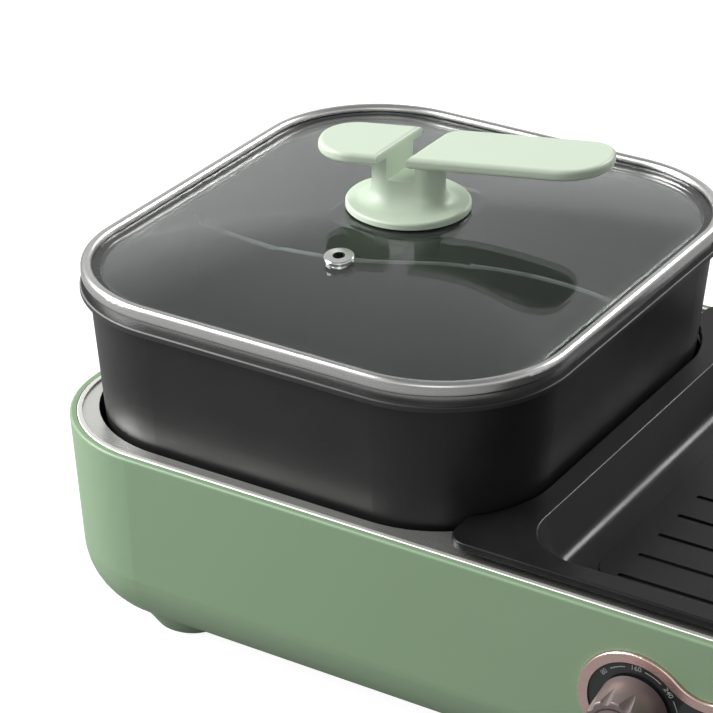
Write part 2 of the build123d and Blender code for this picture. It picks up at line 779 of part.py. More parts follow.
for side, x in knob_places.items():
    axis_plane = Plane(origin=front.from_local_coords((x, 0, 0)), x_dir=front.x_dir, z_dir=front.z_dir)
    section = Plane(origin=axis_plane.origin, x_dir=front.x_dir, z_dir=-front.y_dir)

    with BuildPart() as knob:
        with BuildSketch(section):
            with BuildLine():
                Polyline((0, knob_face + cap_rise), (0, knob_low), (knob_radius, knob_low),
                         (knob_top_radius, knob_face - knob_edge))
                ThreePointArc((knob_top_radius, knob_face - knob_edge),
                              (knob_top_radius - edge_bend, knob_face - edge_bend),
                              (knob_top_radius - knob_edge, knob_face))
                Polyline((knob_top_radius - knob_edge, knob_face), (cap_radius + cap_groove, knob_face),
                         (cap_radius + cap_groove, knob_face - cap_groove),
                         (cap_radius, knob_face - cap_groove), (cap_radius, knob_face))
                TangentArc((0, knob_face + cap_rise), (cap_radius, knob_face), tangent=(1, 0))
            make_face()
        revolve(axis=Axis(axis_plane.origin, front.z_dir))
        # pointer on the cap, then the flutes of the grip
        with BuildSketch(axis_plane.offset(knob_face)):
            with Locations(Rotation(0, 0, pointer_angle) * Pos(cap_radius / 2, 0)):
                SlotOverall(cap_radius, pointer_width)
        extrude(amount=knob_height - knob_face + knob_low)
        with Locations(axis_plane.offset(knob_face - flute_reach / 2)):
            with PolarLocations(flute_circle, flute_count):
                Cone(flute_tip, flute_radius, flute_reach, mode=Mode.SUBTRACT)
        with BuildSketch(axis_plane.offset(knob_low)):
            Circle(knob_hollow)
        extrude(amount=knob_hollow_height, mode=Mode.SUBTRACT)
        with BuildSketch(axis_plane.offset(knob_low)):
            Circle(shaft_radius + shaft_fit)
        extrude(amount=shaft_reach + shaft_fit, mode=Mode.SUBTRACT)
    knob.part.label = f"{side}_knob"
    export_step(knob.part, f"parts/{side}_knob.step")

    with BuildPart() as shaft:
        with BuildSketch(inner_wall):
            with Locations((x, 0)):
                Circle(shaft_radius)
        extrude(amount=wall + knob_low + shaft_reach - shaft_fit)
        with BuildSketch(inner_wall):
            with Locations((x, 0)):
                Circle(shaft_radius)
        extrude(amount=-shaft_depth)
    shaft.part.label = f"{side}_shaft"
    export_step(shaft.part, f"parts/{side}_shaft.step")

    with BuildPart() as nut:
        with BuildSketch(panel_face):
            with Locations((x, 0)):
                RegularPolygon(nut_size / 2, 6, major_radius=False)
                Circle(bushing_radius + shaft_fit, mode=Mode.SUBTRACT)
        extrude(amount=nut_height)
    nut.part.label = f"{side}_nut"
    export_step(nut.part, f"parts/{side}_nut.step")

    with BuildPart() as thermostat:
        with BuildSketch(inner_wall):
            with Locations((x, 0)):
                RectangleRounded(thermostat_side, thermostat_side, shaft_radius)
        extrude(amount=-thermostat_depth)
        with BuildSketch(inner_wall):
            with Locations((x, 0)):
                Circle(bushing_radius)
        extrude(amount=wall + panel_proud + nut_height)
        with BuildSketch(inner_wall.offset(-thermostat_depth)):
            with Locations((x - thermostat_tab_pitch / 2, -thermostat_tab_drop),
                           (x + thermostat_tab_pitch / 2, -thermostat_tab_drop)):
                Rectangle(thermostat_tab_width, thermostat_tab_thickness)
        extrude(amount=-thermostat_tab)
        with BuildSketch(inner_wall.offset(wall + panel_proud + nut_height)):
            with Locations((x, 0)):
                Circle(shaft_radius + shaft_fit)
        extrude(amount=-(wall + panel_proud + nut_height + shaft_depth + shaft_fit), mode=Mode.SUBTRACT)
    thermostat.part.label = f"{side}_thermostat"
    export_step(thermostat.part, f"parts/{side}_thermostat.step")

# ---------------------------------------------------------------- mains inlet
with BuildPart() as inlet_socket:
    with BuildSketch(rear):
        RectangleRounded(inlet_length, inlet_width, inlet_corner)
    extrude(amount=-inlet_depth)
    with BuildSketch(rear):
        RectangleRounded(inlet_length + 2 * inlet_flange, inlet_width + inlet_flange, inlet_corner)
    extrude(amount=inlet_flange_thickness)
    with BuildSketch(rear.offset(inlet_flange_thickness)):
        RectangleRounded(inlet_length - 2 * inlet_wall, inlet_width - 2 * inlet_wall,
                         inlet_corner - inlet_wall / 2)
    extrude(amount=-(inlet_flange_thickness + inlet_depth - inlet_back), mode=Mode.SUBTRACT)
    add(rods(rear.offset(-inlet_depth), pin_radius + screw_fit, pin_places, inlet_back),
        mode=Mode.SUBTRACT)
    add(rods(rear, inlet_screw_radius + screw_fit, inlet_screw_places, inlet_flange_thickness),
        mode=Mode.SUBTRACT)
inlet_socket.part.label = "inlet_socket"
export_step(inlet_socket.part, "parts/inlet_socket.step")

with BuildPart() as inlet_pins:
    add(rods(rear.offset(-inlet_depth), pin_radius, pin_places, inlet_back + pin_length))
    with BuildSketch(rear.offset(-inlet_depth)):
        with Locations(*pin_places):
            Rectangle(pin_radius * 2, pin_radius / 2)
    extrude(amount=-tab_length)
inlet_pins.part.label = "inlet_pins"
export_step(inlet_pins.part, "parts/inlet_pins.step")

with BuildPart() as inlet_screws:
    flange_face = rear.offset(inlet_flange_thickness)
    add(rods(flange_face, inlet_screw_head, inlet_screw_places, inlet_screw_head_height))
    add(rods(flange_face, inlet_screw_radius, inlet_screw_places, -inlet_screw_length))
inlet_screws.part.label = "inlet_screws"
export_step(inlet_screws.part, "parts/inlet_screws.step")

# ---------------------------------------------------------------- terminal block and wiring
with BuildPart() as terminal_block:
    with BuildSketch(level(ledge_top)):
        with Locations((screw_x, 0)):
            RectangleRounded(terminal_width, terminal_length, wire_radius)
    extrude(amount=terminal_height)
terminal_block.part.label = "terminal_block"
export_step(terminal_block.part, "parts/terminal_block.step")

block_height = ledge_top + terminal_height / 2
block_near = screw_x + terminal_width / 2 + seat_gap
block_far = screw_x - terminal_width / 2 - seat_gap
tab_end = inner_wall.offset(-thermostat_depth - thermostat_tab - 2 * seat_gap)


def at_tab(side, hand):
    """End of a thermostat's tab, in housing coordinates; hand is -1 for left and 1 for right."""
    tab_x = knob_places[side] + hand * thermostat_tab_pitch / 2
    tip = tab_end.from_local_coords((tab_x, -thermostat_tab_drop, 0))
    return (tip.X, tip.Y - mid_y, tip.Z)


def at_pin(place):
    """End of an inlet pin's tab, in housing coordinates."""
    tip = rear.offset(-inlet_depth - tab_length - 2 * seat_gap).from_local_coords((*place, 0))
    return (tip.X, tip.Y - mid_y, tip.Z)


pot_feed = at_tab("pot", 1)
pot_out = at_tab("pot", -1)
grill_feed = at_tab("grill", -1)
grill_out = at_tab("grill", 1)
plate_feed_x = pot_x + plate_pin_x + plate_pin_radius + seat_gap
tube_feed_x = tray_end + tube_stub + tube_pin_length / 2
tube_feed_z = tube_height - tube_pin_radius - seat_gap
end_run_z = tube_height / 2 + wire_bend / 2
leads = []
for row, place in enumerate(reversed(pin_places)):
    start = at_pin(place)
    turn_y = (1 - row) * wire_pitch
    leads.append((start, (start[0], turn_y, block_height), (block_near, turn_y, block_height)))
leads.append((
    (block_far, -wire_pitch, block_height), (pot_feed[0], -wire_pitch, block_height + wire_pitch),
    (pot_feed[0], -wire_turn_y, pot_feed[2]), pot_feed,
))
leads.append((
    (block_far, -2 * wire_pitch, block_height),
    (grill_feed[0], -2 * wire_pitch, block_height + wire_pitch),
    (grill_feed[0], -wire_turn_y, grill_feed[2]), grill_feed,
))
leads.append((
    pot_out, (pot_out[0], -wire_turn_y, pot_out[2] - wire_bend),
    (pot_out[0] - 2 * wire_bend, -wire_turn_y / 2, block_height),
    (well_ends[1], -plate_pin_y, block_height), (plate_feed_x, -plate_pin_y, block_height),
))
leads.append((
    (block_far, wire_pitch, block_height), (screw_x / 2, 2 * wire_pitch, block_height - wire_radius),
    (-screw_x / 4, 3 * wire_pitch, block_height), (well_ends[1], plate_pin_y, block_height),
    (plate_feed_x, plate_pin_y, block_height),
))
leads.append((
    grill_out, (grill_out[0], -tube_outer_y, grill_out[2]), (tube_feed_x, -tube_outer_y, end_run_z),
    (tube_feed_x, -tube_outer_y, tube_feed_z),
))
leads.append((
    (block_near, -2 * wire_pitch, block_height), (foot_x, -2 * wire_pitch, block_height),
    (foot_x, tube_outer_y, end_run_z), (tube_feed_x, tube_outer_y, end_run_z),
    (tube_feed_x, tube_outer_y, tube_feed_z),
))

with BuildPart() as wiring:
    for lead in leads:
        add(wire(*lead))
wiring.part.label = "wiring"
export_step(wiring.part, "parts/wiring.step")

# ---------------------------------------------------------------- divided pot
with BuildPart() as divider:
    with BuildSketch(level(pot_bottom + pot_floor / 2, pot_x)):
        with BuildLine():
            ThreePointArc((-divider_half_wave, 0), (-divider_half_wave / 2, -divider_sway), (0, 0))
            ThreePointArc((0, 0), (divider_half_wave / 2, divider_sway), (divider_half_wave, 0))
        trace(line_width=divider_width)
    extrude(amount=divider_top - pot_bottom - pot_floor / 2)
    fillet(divider.edges().group_by(Axis.Z)[-1].filter_by(GeomType.CIRCLE), divider_edge)
    add(drafted(pot_plan(pot_top, pot_wall / 2), pot_top - pot_bottom - pot_floor / 2, pot_draft,
                pot_round), mode=Mode.INTERSECT)

with BuildPart() as hot_pot:
    add(drafted(pot_plan(pot_top), pot_top - pot_bottom, pot_draft, pot_round))
    add(collar(pot_plan(pot_top, -rim_overhang), pot_plan(pot_top, pot_wall / 2), rim_height, rim_round))
    add(drafted(pot_plan(pot_top, pot_wall), pot_top - pot_bottom - pot_floor, pot_draft,
                pot_round - pot_wall), mode=Mode.SUBTRACT)
    add(divider.part)
hot_pot.part.label = "hot_pot"
export_step(hot_pot.part, "parts/hot_pot.step")

# ---------------------------------------------------------------- lid
with BuildPart() as lid_ring:
    # rolled band, whose lower edge stands clear of the pot's rim
    extrude(ring_plan(ring_low + ring_seam), amount=ring_height - ring_seam)
    fillet(lid_ring.edges().group_by(Axis.Z)[0], ring_edge)
    fillet(lid_ring.edges().group_by(Axis.Z)[-1], ring_round)
    # neck that rests on the pot, and the skirt that keeps the lid in place
    extrude(ring_plan(ring_low, ring_neck), amount=ring_seam)
    extrude(pot_plan(pot_top, pot_wall + skirt_gap), amount=-skirt_depth)
    extrude(pot_plan(pot_top, pot_wall + skirt_gap + ring_wall), amount=-skirt_depth, mode=Mode.SUBTRACT)
    extrude(pot_plan(pot_top, pot_wall + skirt_gap + ring_wall), amount=ring_rest, mode=Mode.SUBTRACT)
    extrude(ring_plan(glass_low, ring_side), amount=glass_thickness + glass_fit, mode=Mode.SUBTRACT)
    extrude(ring_plan(glass_low, ring_lip), amount=ring_height, mode=Mode.SUBTRACT)
    fillet(lid_ring.faces().sort_by(Axis.Z)[-1].inner_wires()[0].edges(), ring_round)
lid_ring.part.label = "lid_ring"
export_step(lid_ring.part, "parts/lid_ring.step")

with BuildPart() as lid_glass:
    extrude(ring_plan(glass_low, ring_side + glass_fit), amount=glass_thickness)
    add(dome(glass_edge))
    add(dome(glass_low), mode=Mode.SUBTRACT)
    extrude(disc(glass_low, lid_screw_radius + lid_screw_play, pot_x), amount=glass_top - glass_low,
            mode=Mode.SUBTRACT)
    add(rods(vent.offset(-2 * glass_thickness), vent_neck + seat_gap, [(0, 0)], 4 * glass_thickness),
        mode=Mode.SUBTRACT)
lid_glass.part.label = "lid_glass"
export_step(lid_glass.part, "parts/lid_glass.step")

with BuildPart() as vent_grommet:
    add(rods(vent.offset(seat_gap), vent_flange, [(0, 0)], vent_flange_height))
    fillet(vent_grommet.edges().sort_by(Axis(vent.origin, vent.z_dir))[-1], vent_edge)
    add(rods(vent.offset(seat_gap), vent_neck, [(0, 0)], -glass_thickness - 2 * seat_gap - vent_lip))
    add(rods(vent.offset(-glass_thickness - seat_gap), vent_neck + vent_lip, [(0, 0)], -vent_lip))
    add(rods(vent.offset(2 * vent_flange), vent_bore, [(0, 0)], -4 * vent_flange), mode=Mode.SUBTRACT)
vent_grommet.part.label = "vent_grommet"
export_step(vent_grommet.part, "parts/vent_grommet.step")

# ---------------------------------------------------------------- lid handle
with BuildPart() as wings:
    with BuildSketch(grip.offset(handle_top)) as outline:
        with Locations(((handle_right - handle_left) / 2, 0)):
            Rectangle(handle_right + handle_left, handle_width)
        fillet(outline.vertices().group_by(Axis.X)[0], handle_left_corner)
        fillet(outline.vertices().group_by(Axis.X)[-1].sort_by(Axis.Y)[0], handle_front_corner)
        fillet(outline.vertices().group_by(Axis.X)[-1].sort_by(Axis.Y)[-1], handle_back_corner)
        with Locations(Rotation(0, 0, -handle_angle) * Pos((rest_left + rest_right) / 2, 0)):
            Rectangle(rest_right - rest_left, 4 * handle_width, mode=Mode.SUBTRACT)
        right_wing = outline.faces().sort_by(Axis.X)[-1]
        fillet(right_wing.vertices().sort_by(Axis.X)[:2].sort_by(Axis.Y)[-1], handle_rest_corner)
    extrude(amount=-handle_thickness)
    fillet(wings.edges().group_by(Axis.Z)[0] + wings.edges().group_by(Axis.Z)[-1], handle_edge)

with BuildPart() as lid_handle:
    extrude(disc(handle_low, handle_disc_radius, pot_x), amount=handle_disc_height)
    fillet(lid_handle.edges().group_by(Axis.Z)[-1], handle_disc_edge)
    with BuildSketch(grip.offset(handle_low + handle_disc_height)):
        RectangleRounded(stem_length, stem_width, stem_corner)
    extrude(amount=handle_top - handle_thickness / 2 - handle_low - handle_disc_height)
    root = handle_low + handle_disc_height
    fillet(lid_handle.edges().filter_by_position(Axis.Z, root, root)
           .filter_by(lambda edge: edge.length < stem_length), stem_flare)
    add(wings.part)
    with BuildSketch(level(rest_floor, pot_x + (rest_left + rest_right) / 2)):
        Rectangle(rest_right - rest_left, 4 * handle_width)
    extrude(amount=handle_top - rest_floor, mode=Mode.SUBTRACT)
    extrude(disc(handle_low, lid_screw_radius, pot_x), amount=lid_screw_grip, mode=Mode.SUBTRACT)
lid_handle.part.label = "lid_handle"
export_step(lid_handle.part, "parts/lid_handle.step")

with BuildPart() as handle_gasket:
    extrude(disc(glass_top, handle_disc_radius - handle_gasket_inset, pot_x),
            amount=handle_gasket_thickness)
    extrude(disc(glass_top, lid_screw_radius + lid_screw_play, pot_x), amount=handle_gasket_thickness,
            mode=Mode.SUBTRACT)
handle_gasket.part.label = "handle_gasket"
export_step(handle_gasket.part, "parts/handle_gasket.step")

washer_top = glass_top - glass_thickness
with BuildPart() as handle_washer:
    extrude(disc(washer_top, lid_washer_radius, pot_x), amount=-lid_washer_thickness)
    extrude(disc(washer_top, lid_screw_radius + seat_gap, pot_x), amount=-lid_washer_thickness,
            mode=Mode.SUBTRACT)
handle_washer.part.label = "handle_washer"
export_step(handle_washer.part, "parts/handle_washer.step")

head_top = washer_top - lid_washer_thickness
with BuildPart() as handle_screw:
    extrude(disc(head_top, lid_screw_head, pot_x), amount=-lid_screw_head_height)
    extrude(disc(head_top, lid_screw_radius, pot_x), amount=handle_low + lid_screw_grip - head_top)
handle_screw.part.label = "handle_screw"
export_step(handle_screw.part, "parts/handle_screw.step")

# ---------------------------------------------------------------- grill plate
ear_left = grill_left - grill_ear_reach
ear_lug_y = grill_depth / 2 - ear_lug_inset
ear_lugs = [(grill_left + ear_lug_reach, y) for y in (-ear_lug_y, ear_lug_y)]
end_lugs = [(grill_right - grill_lug_inset, y) for y in (-grill_lug_spacing / 2, grill_lug_spacing / 2)]

with BuildPart() as griddle:
    extrude(rounded(channel_floor, recess_length - 2 * griddle_end_inset,
                    recess_depth - 2 * griddle_side_inset, griddle_corner, grill_x),
            amount=grill_channel_depth)
    fillet(griddle.edges().group_by(Axis.Z)[-1], griddle_edge)
    with BuildSketch(level(grill_surface, grill_x)):
        with GridLocations(0, groove_pitch, 1, groove_count):
            SlotOverall(recess_length - 2 * groove_margin, groove_width)
    extrude(amount=-grill_channel_depth, mode=Mode.SUBTRACT)

with BuildPart() as grill_plate:
    with BuildSketch(level(grill_top)) as flange:
        with Locations(((ear_left + grill_right) / 2, 0)):
            Rectangle(grill_right - ear_left, grill_depth)
        fillet(flange.vertices().group_by(Axis.X)[-1], grill_outer_corner)
        with Locations((pot_x, 0)):
            RectangleRounded(pot_length + 2 * grill_gap, pot_depth + 2 * grill_gap,
                             pot_corner + grill_gap, mode=Mode.SUBTRACT)
        fillet(flange.vertices().group_by(Axis.X)[0].sort_by(Axis.Y)[1:3], grill_ear_corner)
        tips = flange.vertices().group_by(Axis.X)[0].sort_by(Axis.Y)
        fillet([tips[0], tips[-1]], grill_tip_radius)
    extrude(amount=-grill_edge)
    fillet(grill_plate.edges().group_by(Axis.Z)[-1], grill_edge_round)
    add(drafted(recess_plan(grill_top, -grill_side), grill_top - grill_under, grill_wall_lean,
                grill_outer_round))
    add(drafted(recess_plan(grill_top), grill_top - channel_floor, grill_wall_lean, grill_inner_round),
        mode=Mode.SUBTRACT)
    fillet(grill_plate.faces().sort_by(Axis.Z)[-1].inner_wires()[0].edges(), recess_edge_round)
    add(griddle.part)
    add(rods(level(deck_top), grill_lug_radius, ear_lugs + end_lugs, grill_top - grill_edge - deck_top))
grill_plate.part.label = "grill_plate"
export_step(grill_plate.part, "parts/grill_plate.step")
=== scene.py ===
import json
from math import cos, pi, radians, sin

import bmesh
import bpy
from mathutils import Matrix, Vector


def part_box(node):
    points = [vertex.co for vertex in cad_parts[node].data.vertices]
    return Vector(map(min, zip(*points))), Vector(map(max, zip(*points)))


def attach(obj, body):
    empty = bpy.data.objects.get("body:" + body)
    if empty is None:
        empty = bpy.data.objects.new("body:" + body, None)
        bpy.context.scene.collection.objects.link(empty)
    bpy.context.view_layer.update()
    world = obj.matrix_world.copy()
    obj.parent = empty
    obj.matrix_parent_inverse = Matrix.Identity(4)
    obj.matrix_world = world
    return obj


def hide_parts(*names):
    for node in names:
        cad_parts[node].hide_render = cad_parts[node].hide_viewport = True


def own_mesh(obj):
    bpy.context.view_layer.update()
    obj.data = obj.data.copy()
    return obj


# Dresses the two-in-one table cooker: a finish for every solid, the dial prints, screws with a
# cross recess, the probe's spring, and the studio that the cooker stands in. Metres.
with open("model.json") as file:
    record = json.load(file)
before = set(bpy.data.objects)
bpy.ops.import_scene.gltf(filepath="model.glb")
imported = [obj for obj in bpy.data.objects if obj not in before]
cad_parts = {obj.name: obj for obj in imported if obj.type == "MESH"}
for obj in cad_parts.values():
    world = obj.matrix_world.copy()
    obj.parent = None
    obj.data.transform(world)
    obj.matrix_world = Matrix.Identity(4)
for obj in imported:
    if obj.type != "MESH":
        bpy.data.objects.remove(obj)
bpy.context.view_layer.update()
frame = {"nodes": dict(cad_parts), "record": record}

MM = 0.001

# Where the finishes change on the solids. A pair is a range, and a finish that fades in over it is
# full at the pair's second end.
LID_CENTRE = Vector((-0.2147, 0.00878, 0))
DIVIDER_CROWN_Z = (0.1533, 0.1546)
# The divider's painted highlight fades in over this range, from the divider's left end.
DIVIDER_HIGHLIGHT_X = (-0.303, -0.273)
RIM_UNDERSIDE_Z = 0.1586
RIM_ROUND_Z = 0.1603
# The rim's painted highlight is full left of this range and gone right of it.
RIM_HIGHLIGHT_X = (-0.13, -0.23)
# Height over which the deck bead's painted highlight fades in.
DECK_BEAD_Z = (0.10035, 0.1006)
# Height over which the ring's painted shade fades in, full at the bottom.
RING_PAINTED_SHADE_Z = (0.1675, 0.1645)
# Half sizes of the lid's clear middle, and the width over which its satin border fades in.
GLASS_CLEAR_X = 0.100
GLASS_CLEAR_Y = 0.113
GLASS_BORDER = 0.004


# ---------------------------------------------------------------- shader maths
class Field:
    """A number, colour or vector that varies over a surface; expressions on it add Math nodes."""

    def __init__(self, board, socket):
        self.board = board
        self.socket = socket

    def math(self, operation, *others):
        """Math node that takes this field first."""
        values = dict(enumerate((self, *others)))
        return self.board.node("Math", {"operation": operation}, values)

    def __add__(self, other):
        return self.math("ADD", other)

    def __sub__(self, other):
        return self.math("SUBTRACT", other)

    def __mul__(self, other):
        return self.math("MULTIPLY", other)

    def __gt__(self, other):
        return self.math("GREATER_THAN", other)

    def __lt__(self, other):
        return self.math("LESS_THAN", other)

    def between(self, low, high):
        """1 where the field lies between two values, and 0 elsewhere."""
        return (self > low) * (self < high)

    def clamp(self):
        """The field, held between 0 and 1."""
        return self.board.node("Clamp", {}, {"Value": self})


class Board:
    """The node tree of a material or of the world."""

    def __init__(self, tree):
        self.tree = tree

    def node(self, kind, settings=None, inputs=None, output=0):
        """Adds a node: its settings first, then the values or links of its sockets."""
        made = self.tree.nodes.new("ShaderNode" + kind)
        settings = dict(settings or {})
        stops = settings.pop("stops", None)
        for key, value in settings.items():
            setattr(made, key, value)
        if stops:
            elements = made.color_ramp.elements
            while len(elements) < len(stops):
                elements.new(0.5)
            for element, (place, grey) in zip(elements, stops):
                element.position = place
                element.color = (grey, grey, grey, 1)
        for key, value in (inputs or {}).items():
            if isinstance(value, Field):
                self.tree.links.new(value.socket, made.inputs[key])
            else:
                made.inputs[key].default_value = value
        return Field(self, made.outputs[output])

    def blend(self, share, first, second):
        """Colour that goes from first to second as share goes from 0 to 1."""
        ends = [end if isinstance(end, Field) else (*end, 1) for end in (first, second)]
        return self.node("Mix", {"data_type": "RGBA"}, {0: share, 6: ends[0], 7: ends[1]}, output=2)


class Finish(Board):
    """One material: a Principled shader, its fixed values, and the fields that feed it."""

    def __init__(self, name, colour, roughness, metallic=0.0, **fixed):
        self.material = bpy.data.materials.new(name)
        self.material.use_nodes = True
        super().__init__(self.material.node_tree)
        self.shader = self.tree.nodes["Principled BSDF"]
        self.shader.inputs["Base Color"].default_value = (*colour, 1)
        self.shader.inputs["Roughness"].default_value = roughness
        self.shader.inputs["Metallic"].default_value = metallic
        for socket, value in fixed.items():
            self.shader.inputs[socket.replace("_", " ")].default_value = value
        self.fed = {"Base Color": colour}
        self.coords = self.node("TexCoord", output="Object")

    def noise(self, size, stretch=(1, 1, 1), detail=2.0):
        """Cloudy field from 0 to 1 whose patches are about size millimetres across."""
        spread = self.node("VectorMath", {"operation": "MULTIPLY"}, {0: self.coords, 1: stretch})
        return self.node("TexNoise", {},
                         {"Vector": spread, "Scale": 1 / (size * MM), "Detail": detail})

    def cells(self, size, randomness=1.0):
        """Distance field of scattered cells about size millimetres apart."""
        return self.node("TexVoronoi", {"feature": "F1"},
                         {"Vector": self.coords, "Scale": 1 / (size * MM),
                          "Randomness": randomness})

    def axis(self, name):
        """One object coordinate, in metres."""
        return self.node("SeparateXYZ", {}, {0: self.coords}, output=name)

    def band(self, field, low, high):
        """Straight rise from 0 at low to 1 at high, where low may be the larger."""
        return self.node("MapRange", {}, {"Value": field, "From Min": low, "From Max": high})

    def feed(self, socket, field):
        """Links a field to the shader, and keeps it for the layers that go over it."""
        self.tree.links.new(field.socket, self.shader.inputs[socket])
        self.fed[socket] = field

    def tint(self, share, other):
        """Lets the base colour, as fed so far, drift towards another colour by a share."""
        self.feed("Base Color", self.blend(share, self.fed["Base Color"], other))

    def relief(self, height, depth):
        """Bump from a height field; depth is the full height in millimetres."""
        self.feed("Normal", self.node("Bump", {}, {"Height": height, "Distance": depth * MM}))


def shade(colour, factor):
    """The same colour, lighter or darker by a factor."""
    return tuple(min(1.0, part * factor) for part in colour)


# ---------------------------------------------------------------- finishes
SAGE = (0.265, 0.385, 0.24)
MINT = (0.585, 0.685, 0.55)
CHARCOAL = (0.013, 0.013, 0.0135)


def moulded(name, colour, roughness, grain, depth):
    """Moulded plastic: faint colour drift, a fine sand-blasted grain and rubbed patches."""
    finish = Finish(name, colour, roughness)
    drift = finish.noise(90, detail=3.0)
    sand = finish.noise(grain, detail=1.0)
    rubbed = finish.noise(25, detail=4.0)
    finish.tint(drift * 0.5 + sand * 0.35, shade(colour, 0.86))
    finish.feed("Roughness", rubbed * 0.10 + sand * 0.05 + (roughness - 0.08))
    finish.relief(sand, depth)
    return finish


def brushed(name, colour, roughness, stretch, depth=0.006, metallic=1.0):
    """Brushed metal: fine streaks that run long along the axes with a small stretch."""
    finish = Finish(name, colour, roughness, metallic)
    streaks = finish.noise(0.25, stretch, detail=4.0)
    smudge = finish.noise(45, detail=3.0)
    finish.tint(streaks * 0.6, shade(colour, 0.80))
    finish.feed("Roughness", streaks * 0.14 + smudge * 0.08 + (roughness - 0.10))
    finish.relief(streaks, depth)
    return finish


def deck_steel():
    """Satin deck sheet whose rolled bead is duller than the flat and tinted paler, a painted
    highlight.
    """
    finish = brushed("deck_brushing", (0.88, 0.88, 0.84), 0.28, (0.012, 1, 1), metallic=0.9)
    bead = finish.band(finish.axis("Z"), *DECK_BEAD_Z)
    # Painted highlight: the bead's colour is lifted towards a pale cream to widen its light line.
    finish.tint(bead, (0.97, 0.97, 0.92))
    finish.feed("Roughness", bead * 0.26 + finish.fed["Roughness"])
    return finish


def ring_steel():
    """Rolled stainless ring: polished along its top, with painted shade that darkens it below."""
    finish = brushed("ring_polish", (0.66, 0.66, 0.65), 0.28, (0.02, 0.02, 1), depth=0.001)
    # Painted shade: the ring's lower part is tinted darker in patches, standing in for the darker
    # reflections on its side.
    painted_shade = finish.band(finish.axis("Z"), *RING_PAINTED_SHADE_Z)
    patches = finish.noise(12, detail=4.0) * 0.3 + 0.7
    finish.tint(painted_shade * patches, (0.34, 0.34, 0.335))
    return finish


def coated(name, colour, roughness, specular):
    """Non-stick coating: fine pale specks, an orange-peel skin and dull handling marks."""
    finish = Finish(name, colour, roughness, Specular_IOR_Level=specular)
    peel = finish.noise(0.9)
    specks = (finish.cells(1.1) < 0.16) * (finish.noise(2.3) > 0.56)
    handling = finish.band(finish.noise(38, detail=5.0), 0.42, 0.72)
    finish.tint(handling * 0.5, shade(colour, 1.6))
    finish.tint(specks * 0.5, shade(colour, 6))
    finish.feed("Roughness", handling * 0.09 + peel * 0.08 + (roughness - 0.07))
    finish.relief(peel, 0.02)
    return finish


def worn_pot_with_painted_highlights():
    """The pot's coating, with a painted highlight along the divider's top and on the rim, strongest
    on the rim's rounded edge at the left.
    """
    finish = coated("pot_coating", CHARCOAL, 0.44, specular=0.38)
    x, z = finish.axis("X"), finish.axis("Z")
    normal = finish.node("NewGeometry", output="Normal")
    facing_up = finish.node("SeparateXYZ", {}, {0: normal}, output="Z")
    # Painted highlight: the divider's upward-facing top is tinted lighter in patches, fading in
    # from its left end.
    divider = (facing_up > 0.35) * z.between(*DIVIDER_CROWN_Z) * finish.band(x, *DIVIDER_HIGHLIGHT_X)
    finish.tint(divider * finish.band(finish.noise(9), 0.1, 0.5), (0.26, 0.265, 0.26))
    # The rim's rounded edge leans, while its flat top faces straight up.
    rim_edge = (z > RIM_ROUND_Z) * facing_up.between(0.25, 0.97)
    # Painted highlight: the rim is tinted a little lighter all round, and much lighter on its
    # rounded edge towards the left, where light catches it.
    rim_highlight = finish.band(x, *RIM_HIGHLIGHT_X) * finish.band(finish.noise(14), 0.0, 0.4)
    finish.tint((z > RIM_UNDERSIDE_Z) * 0.08 + rim_edge * rim_highlight * 0.75, (0.20, 0.20, 0.195))
    return finish


def turned(name, colour, roughness, pitch, centre):
    """Cast metal faced on a lathe: rings round a centre, pitch millimetres apart, and pores."""
    finish = Finish(name, colour, roughness, 1.0)
    flat = finish.node("VectorMath", {"operation": "MULTIPLY"}, {0: finish.coords, 1: (1, 1, 0)})
    reach = finish.node("VectorMath", {"operation": "DISTANCE"}, {0: flat, 1: centre},
                        output="Value")
    rings = (reach * (2 * pi / (pitch * MM))).math("SINE")
    pores = finish.cells(1.6) < 0.12
    finish.tint(pores * 0.6, shade(colour, 0.35))
    finish.feed("Roughness", rings * 0.05 + finish.noise(20) * 0.12 + (roughness - 0.05))
    finish.relief(rings, 0.02)
    return finish


def sheathed(name, colour, hot):
    """Heater sheath: dull oxide that goes from one colour to another in patches."""
    finish = Finish(name, colour, 0.5, 0.8)
    heat = finish.noise(28, detail=3.0)
    scale = finish.noise(0.7, detail=3.0)
    finish.tint(finish.band(heat, 0.35, 0.65), hot)
    finish.feed("Roughness", scale * 0.25 + 0.36)
    finish.relief(scale, 0.03)
    return finish


def bronze():
    """Knob finish: mauve-brown satin metallic lacquer with fine flakes."""
    finish = Finish("knob_lacquer", (0.205, 0.158, 0.156), 0.40, 0.45,
                    Coat_Weight=0.1, Coat_Roughness=0.3)
    flakes = finish.noise(0.22, detail=1.0)
    drift = finish.noise(7)
    finish.tint(flakes * 0.5 + drift * 0.3, (0.29, 0.235, 0.23))
    finish.feed("Roughness", flakes * 0.12 + 0.32)
    finish.relief(flakes, 0.006)
    return finish


def gloss_panel():
    """Near-black gloss panel with faint wiping marks under its clear coat."""
    finish = Finish("panel_gloss", (0.012, 0.014, 0.015), 0.20,
                    Coat_Weight=0.6, Coat_Roughness=0.05)
    wiped = finish.noise(6, (1, 1, 0.25), detail=4.0)
    finish.tint(wiped * 0.5, (0.022, 0.025, 0.026))
    finish.feed("Roughness", wiped * 0.12 + 0.14)
    finish.relief(finish.noise(1.2), 0.002)
    return finish


